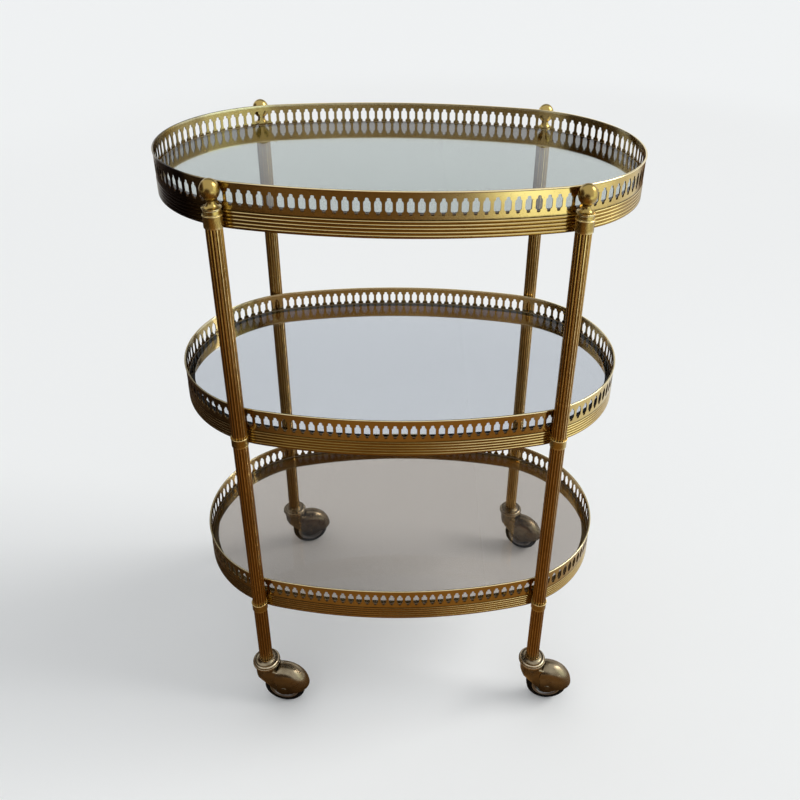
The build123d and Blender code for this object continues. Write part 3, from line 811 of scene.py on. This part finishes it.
def fluted_tube(node):
    """A fluted tube on the node's axis: the tube's circle, hollowed by a circle at each flute.

    The points go round the tube and, across it, from the bore over the lower end, up the outside
    and back over the upper end. Wear follows the share of the flute's depth that a point stands
    above its root.
    """
    low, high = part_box(node)
    middle_x, middle_y = (low.x + high.x) / 2, (low.y + high.y) / 2
    steps = FLUTES * FLUTE_STEPS * 2
    angle = np.arange(steps) / steps * 2 * math.pi
    off = (angle + math.pi / FLUTES) % (2 * math.pi / FLUTES) - math.pi / FLUTES
    centre = TUBE_RADIUS - FLUTE_DEPTH + FLUTE_RADIUS
    inside = np.maximum(FLUTE_RADIUS**2 - (centre * np.sin(off)) ** 2, 0)
    hollow = np.where(inside > 0, centre * np.cos(off) - np.sqrt(inside), TUBE_RADIUS)
    outer = np.minimum(TUBE_RADIUS, hollow)
    bore = np.full(steps, TUBE_BORE)
    across = np.stack([bore, outer, outer, bore], axis=-1)
    x = middle_x + across * np.cos(angle)[:, None]
    y = middle_y + across * np.sin(angle)[:, None]
    z = np.broadcast_to([low.z, low.z, high.z, high.z], x.shape)
    points = np.stack([x, y, z], axis=-1)
    maps = np.stack([np.broadcast_to(angle[:, None] * TUBE_RADIUS, x.shape), z], axis=-1)
    share = 1 - (TUBE_RADIUS - across) / FLUTE_DEPTH
    wear = np.interp(share, FLUTE_SHARES, WEAR_AT_SHARES)
    return points, grid_faces(*across.shape, wrap_rows=True, wrap_columns=True), maps, wear


for corner in CORNERS:
    for length in ("foot", "post_lower", "post_upper"):
        node = f"{length}_{corner}"
        points, quads, maps, wear = fluted_tube(node)
        tube = make_piece(f"fluted_{node}", points, quads, [post_brass], maps, wear)
        stands_for(tube, node, "cart")


# The collars, low and middle, and the sleeves at the top. Each is a short brass tube with a
# rolled lip round its upper end, turned and polished, and pushed on to the post.
COLLAR_BORE = TUBE_RADIUS + 0.00005
COLLAR_LIP = 0.00055
COLLAR_LIP_HEIGHT = 0.0012
COLLAR_EASE = 0.0004
COLLAR_WALLS = {"collar_low": 0.0011, "collar_mid": 0.0011, "sleeve": 0.0012}
LATHE_STEPS = 64
LARGEST_EASE = 0.4
FLAT_WEAR = 0.6
BEND_WEAR = 1.4

turned_brass = aged_metal(
    "turned_brass", rubbed=(0.88, 0.74, 0.40), body=(0.51, 0.37, 0.12), film=(0.29, 0.18, 0.045),
    dirt=(0.02, 0.009, 0.004), cover=0.45, polish=0.2, clouds=20.0,
)


def eased(points, radius, steps=4):
    """A line with its corners eased: each becomes a parabola that starts and ends a radius away.

    No ease takes more than two fifths of a side.
    """
    points = np.asarray(points, float)
    before, here, after = points[:-2], points[1:-1], points[2:]
    share = np.linspace(0, 1, steps)[None, :, None]

    def beside(other):
        """The points where the eases start or end, towards the neighbours."""
        side = other - here
        length = np.linalg.norm(side, axis=-1, keepdims=True)
        return (here + side * np.minimum(radius / length, LARGEST_EASE))[:, None, :]

    corner = here[:, None, :]
    start, end = beside(before), beside(after)
    bends = (1 - share) ** 2 * start + 2 * share * (1 - share) * corner + share**2 * end
    return np.concatenate([points[:1], bends.reshape(-1, 2), points[-1:]])


def edge_wear(profile, closed):
    """Wear along a turned profile: high where it bends outwards, low where it bends inwards.

    The bend at a point is the turn between the sides that meet there, and the profile runs
    clockwise as radius against height, so that a turn to the right is outwards.
    """
    if closed:
        before, after = profile[-1:], profile[:1]
    else:
        before = 2 * profile[:1] - profile[1:2]
        after = 2 * profile[-1:] - profile[-2:-1]
    side = np.diff(np.concatenate([before, profile, after]), axis=0)
    first, second = side[:-1], side[1:]
    cross = first[:, 0] * second[:, 1] - first[:, 1] * second[:, 0]
    turn = np.arctan2(-cross, (first * second).sum(axis=-1))
    return np.clip(FLAT_WEAR + BEND_WEAR * turn, 0, 1)


def lathe(name, profile, centre, axis, material, closed, tarnish=0.0):
    """A turned piece: its profile, radius against place along the axis, carried round the axis.

    An open profile starts and ends on the axis. It runs clockwise, as edge_wear needs it.
    """
    axis = np.asarray(axis, float)
    sideways = np.array([axis[1], -axis[0], 0.0])
    across = sideways if sideways.any() else np.array([1.0, 0.0, 0.0])
    up = np.cross(axis, across)
    angle = (np.arange(LATHE_STEPS) / LATHE_STEPS * 2 * math.pi)[:, None, None]
    outward = np.cos(angle) * across + np.sin(angle) * up
    radius, place = profile[None, :, :1], profile[None, :, 1:]
    points = np.asarray(centre) + place * axis + radius * outward
    quads = grid_faces(*points.shape[:2], wrap_rows=True, wrap_columns=closed)
    wear = np.broadcast_to(edge_wear(profile, closed), points.shape[:2])
    return make_piece(name, points, quads, [material], None, wear, np.full(wear.shape, tarnish))


def post_axis(corner):
    """Where a post's axis meets the floor."""
    low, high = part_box(f"foot_{corner}")
    return np.array([(low.x + high.x) / 2, (low.y + high.y) / 2, 0.0])


UPRIGHT = (0.0, 0.0, 1.0)
for corner in CORNERS:
    for kind, wall in COLLAR_WALLS.items():
        low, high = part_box(f"{kind}_{corner}")
        outer = COLLAR_BORE + wall
        outline = eased([
            (COLLAR_BORE, (low.z + high.z) / 2),
            (COLLAR_BORE, high.z),
            (outer + COLLAR_LIP, high.z),
            (outer + COLLAR_LIP, high.z - COLLAR_LIP_HEIGHT),
            (outer, high.z - COLLAR_LIP_HEIGHT),
            (outer, low.z),
            (COLLAR_BORE, low.z),
            (COLLAR_BORE, (low.z + high.z) / 2),
        ], COLLAR_EASE)[:-1]
        node = f"{kind}_{corner}"
        ring = lathe(f"turned_{node}", outline, post_axis(corner), UPRIGHT, turned_brass, True)
        stands_for(ring, node, "cart")


# The finials. Each is turned from solid brass: an egg on a waisted neck, a flared flange and a
# ring with a lip, with a spigot below that is pushed into the tube.
FINIAL_EASE = 0.35
EGG_CAP = ((0.0, -4.5), 10.0, 90.0, 43.6)
EGG_SIDE = ((-2.625, -7.0), 13.625, 43.6, -55.97)
FINIAL_NECK = ((5.0, -18.29), (5.0, -21.89), (10.8, -26.69))
FINIAL_FOOT = (
    (10.8, -26.69), (10.8, -28.09), (9.4, -28.09), (9.4, -28.89), (10.0, -28.89), (10.0, -33.39),
    (10.5, -33.39), (10.5, -34.39), (7.8, -34.39), (7.8, -46.39), (0.0, -46.39),
)


def arc(centre, radius, start, end, steps):
    """Points of an arc about a centre between two angles in degrees."""
    angle = np.radians(np.linspace(start, end, steps))[:, None]
    return np.asarray(centre) + radius * np.concatenate([np.cos(angle), np.sin(angle)], axis=-1)


def through(first, middle, last, steps):
    """Points of the arc through three points: the circle's centre is as far from each of them."""
    first, middle, last = (np.asarray(point, float) for point in (first, middle, last))
    sides = np.array([middle - first, last - first])
    offset = np.linalg.solve(2 * sides, (sides**2).sum(axis=-1))
    centre = first + offset
    angles = [math.degrees(math.atan2(*(point - centre)[::-1])) for point in (first, middle, last)]
    start, _, end = np.degrees(np.unwrap(np.radians(angles)))
    return arc(centre, np.linalg.norm(offset), start, end, steps)


finial_profile = np.concatenate([
    arc(*EGG_CAP, steps=12),
    arc(*EGG_SIDE, steps=20)[1:],
    through(*FINIAL_NECK, steps=12)[1:-1],
    eased(FINIAL_FOOT, FINIAL_EASE),
]) * MILLIMETRE
finial_profile[0, 0] = 0.0  # the tip, on the axis
for corner in CORNERS:
    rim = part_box("gallery_top")[1].z
    base = post_axis(corner) + (0, 0, rim)
    finial = lathe(f"turned_finial_{corner}", finial_profile, base, UPRIGHT, turned_brass, False)
    stands_for(finial, f"finial_{corner}", "cart")


# The caster cups. Each stays with its post: a pressed cup with a stepped rim and a rounded
# crest, swept up to a lip round the tube, in brass that is toned brown.
CUP_CREST = ((18.6, 2.8), (18.534, 4.596), (17.2, 5.8))
CUP_SWEEP = ((17.2, 5.8), (12.6, 6.6), (10.075, 10.3))
CUP_LIP = ((10.075, 10.3), (9.575, 10.3), (9.575, 2.0), (3.05, 2.0), (3.05, 0.0), (12.0, 0.0))
CUP_RIM = ((12.0, 0.0), (20.0, 0.0), (20.0, 2.8), (18.6, 2.8))
CUP_LIP_EASE = 0.3
CUP_RIM_EASE = 0.5

bronze = aged_metal(
    "caster_bronze", rubbed=(0.60, 0.51, 0.36), body=(0.32, 0.26, 0.17), film=(0.14, 0.10, 0.055),
    dirt=(0.02, 0.012, 0.006), cover=0.65, polish=0.22, clouds=60.0, bump=0.03,
)
cup_profile = np.concatenate([
    eased(CUP_LIP, CUP_LIP_EASE)[:-1],
    eased(CUP_RIM, CUP_RIM_EASE)[:-1],
    through(*CUP_CREST, steps=6)[:-1],
    through(*CUP_SWEEP, steps=10)[:-1],
])[::-1] * MILLIMETRE
for corner in CORNERS:
    base = post_axis(corner) + (0, 0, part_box(f"caster_cup_{corner}")[0].z)
    cup = lathe(f"cup_{corner}", cup_profile, base, UPRIGHT, bronze, True)
    stands_for(cup, f"caster_cup_{corner}", "cart")


# The caster hoods. Each is pressed brass: a ball over the wheel on two legs from a round neck,
# with the swivel plate and its pin riveted on top.
# Painted shade on the hoods: how dark, below what height, and over what depth towards the floor.
HOOD_GRIME = 0.7
HOOD_GRIME_TOP = 0.045
HOOD_GRIME_DEPTH = 0.012
HOOD_MERGE_WITHIN = 1e-6
HOOD_SHARP_EDGE = math.radians(32)
HOOD_FLAT_WEAR = 0.55
HOOD_BULGE_WEAR = 0.8


def pressed_copy(name, node, material):
    """A copy of a solid with its points joined, shaded smooth, and worn where it bulges.

    The bulge at a point is the mean slope of its edges below the surface there. Painted shade
    darkens it towards the floor, over the shade's depth.
    """
    shape = bmesh.new()
    shape.from_mesh(frame["nodes"][node].data)
    bmesh.ops.remove_doubles(shape, verts=shape.verts, dist=HOOD_MERGE_WITHIN)
    mesh = bpy.data.meshes.new(name)
    shape.to_mesh(mesh)
    shape.free()
    mesh.shade_smooth()
    mesh.set_sharp_from_angle(angle=HOOD_SHARP_EDGE)
    points = np.empty(len(mesh.vertices) * 3)
    normals = np.empty(len(mesh.vertices) * 3)
    ends = np.empty(len(mesh.edges) * 2, np.int32)
    mesh.vertices.foreach_get("co", points)
    mesh.vertices.foreach_get("normal", normals)
    mesh.edges.foreach_get("vertices", ends)
    points, normals, ends = points.reshape(-1, 3), normals.reshape(-1, 3), ends.reshape(-1, 2)
    bulge = np.zeros(len(points))
    count = np.zeros(len(points))
    for near, far in (ends.T, ends.T[::-1]):
        side = points[far] - points[near]
        slope = (side * normals[near]).sum(axis=-1) / np.linalg.norm(side, axis=-1)
        np.add.at(bulge, near, -slope)
        np.add.at(count, near, 1)
    wear = np.clip(HOOD_FLAT_WEAR + HOOD_BULGE_WEAR * bulge / count, 0, 1)
    # Painted shade, darker towards the floor.
    tarnish = HOOD_GRIME * np.clip((HOOD_GRIME_TOP - points[:, 2]) / HOOD_GRIME_DEPTH, 0, 1)
    mark_points(mesh, wear=wear, tarnish=tarnish)
    mesh.materials.clear()
    mesh.materials.append(material)
    return placed(name, mesh)


for corner in CORNERS:
    node = f"caster_hood_{corner}"
    stands_for(pressed_copy(f"hood_{corner}", node, bronze), node, f"swivel_{corner}")


# The axles, riveted over outside the cheeks of the hood, and the wheels: a zinc-plated hub with
# a web and a bevelled rim, and a black rubber tyre pressed on to it.
AXLE_TARNISH = 0.75
AXLE_HEAD = ((4.6, 13.023), (3.6, 13.85), (0.0, 14.22))
AXLE_SHANK = ((3.0, 13.023), (3.0, 0.0))
HUB_HALF = (
    (3.05, 10.946), (5.8, 10.946), (7.2, 9.546), (7.2, 2.6), (18.9, 2.6), (18.9, 7.5),
    (20.9, 8.9), (22.3, 8.9),
)
HUB_EASE = 0.25
TYRE_SEAT = 22.3
TYRE_EASE = 0.3
TYRE_SIDE = ((TYRE_SEAT, 8.9), (23.8, 8.9), (24.2, 8.5), (24.6, 8.9), (26.4, 8.9))
TYRE_SHOULDER = ((26.4, 8.9), (29.288, 7.565), (30.4, 4.6))
TYRE_TREAD = ((30.4, 4.6), (31.0, 0.0), (30.4, -4.6))
RUBBER_SPECULAR = 0.1
RUBBER_ROUGHNESS = (0.5, 0.75)
RUBBER_BLACK = (0.002, 0.002, 0.002, 1)
RUBBER_DUSTY = (0.008, 0.0078, 0.0075, 1)
DUST_SCALE = 90.0
DUST_DETAIL = 6.0
DUST_RANGE = (0.45, 0.75)


def both_sides(half):
    """A profile across the wheel from its half at the positive side."""
    half = np.asarray(half)
    return np.concatenate([half, half[::-1] * (1, -1)])


wheel_metal = aged_metal(
    "wheel_metal", rubbed=(0.55, 0.54, 0.53), body=(0.26, 0.255, 0.25), film=(0.13, 0.125, 0.12),
    dirt=(0.03, 0.028, 0.026), cover=0.6, polish=0.3, clouds=40.0,
)
tyre_rubber, dust, dust_tones = mottled("tyre_rubber", DUST_SCALE, RUBBER_BLACK, RUBBER_DUSTY)
dust.inputs["Detail"].default_value = DUST_DETAIL
for stop, position in zip(dust_tones.color_ramp.elements, DUST_RANGE):
    stop.position = position
rubber_tree = tyre_rubber.node_tree
rubber_shader = rubber_tree.nodes["Principled BSDF"]
rubber_shader.inputs["Specular IOR Level"].default_value = RUBBER_SPECULAR
rubber_sheen = rubber_tree.nodes.new("ShaderNodeMapRange")
rubber_sheen.inputs["To Min"].default_value = RUBBER_ROUGHNESS[0]
rubber_sheen.inputs["To Max"].default_value = RUBBER_ROUGHNESS[1]
link(rubber_tree, dust.outputs["Fac"], rubber_sheen.inputs["Value"])
link(rubber_tree, rubber_sheen.outputs["Result"], rubber_shader.inputs["Roughness"])

axle_half = np.concatenate([through(*AXLE_HEAD, steps=8)[::-1], AXLE_SHANK])
axle_profile = both_sides(axle_half) * MILLIMETRE
axle_profile[0, 0] = axle_profile[-1, 0] = 0.0  # the tips, on the axis
hub_middle = (HUB_HALF[0][0], 0.0)
hub_profile = both_sides(eased([hub_middle, *HUB_HALF], HUB_EASE)[1:]) * MILLIMETRE
tyre_side = eased(TYRE_SIDE, TYRE_EASE)
tyre_shoulder = through(*TYRE_SHOULDER, steps=8)
tyre_profile = np.concatenate([
    [(TYRE_SEAT, 0.0)],
    tyre_side,
    tyre_shoulder[1:],
    through(*TYRE_TREAD, steps=9)[1:-1],
    (tyre_shoulder * (1, -1))[::-1],
    (tyre_side * (1, -1))[::-1][1:],
]) * MILLIMETRE

wheel_joints = {joint["name"]: joint for joint in frame["record"]["behaviour"]["joints"]}
for corner in CORNERS:
    joint = wheel_joints[f"wheel_spin_{corner}"]
    centre, axis = joint["pos_m"], joint["axis"]
    axle = lathe(f"axle_{corner}", axle_profile, centre, axis, bronze, False, AXLE_TARNISH)
    stands_for(axle, f"caster_axle_{corner}", f"swivel_{corner}")
    hub = lathe(f"hub_{corner}", hub_profile, centre, axis, wheel_metal, True)
    stands_for(hub, f"caster_hub_{corner}", f"wheel_{corner}")
    tyre = lathe(f"tyre_{corner}", tyre_profile, centre, axis, tyre_rubber, True)
    stands_for(tyre, f"caster_tyre_{corner}", f"wheel_{corner}")
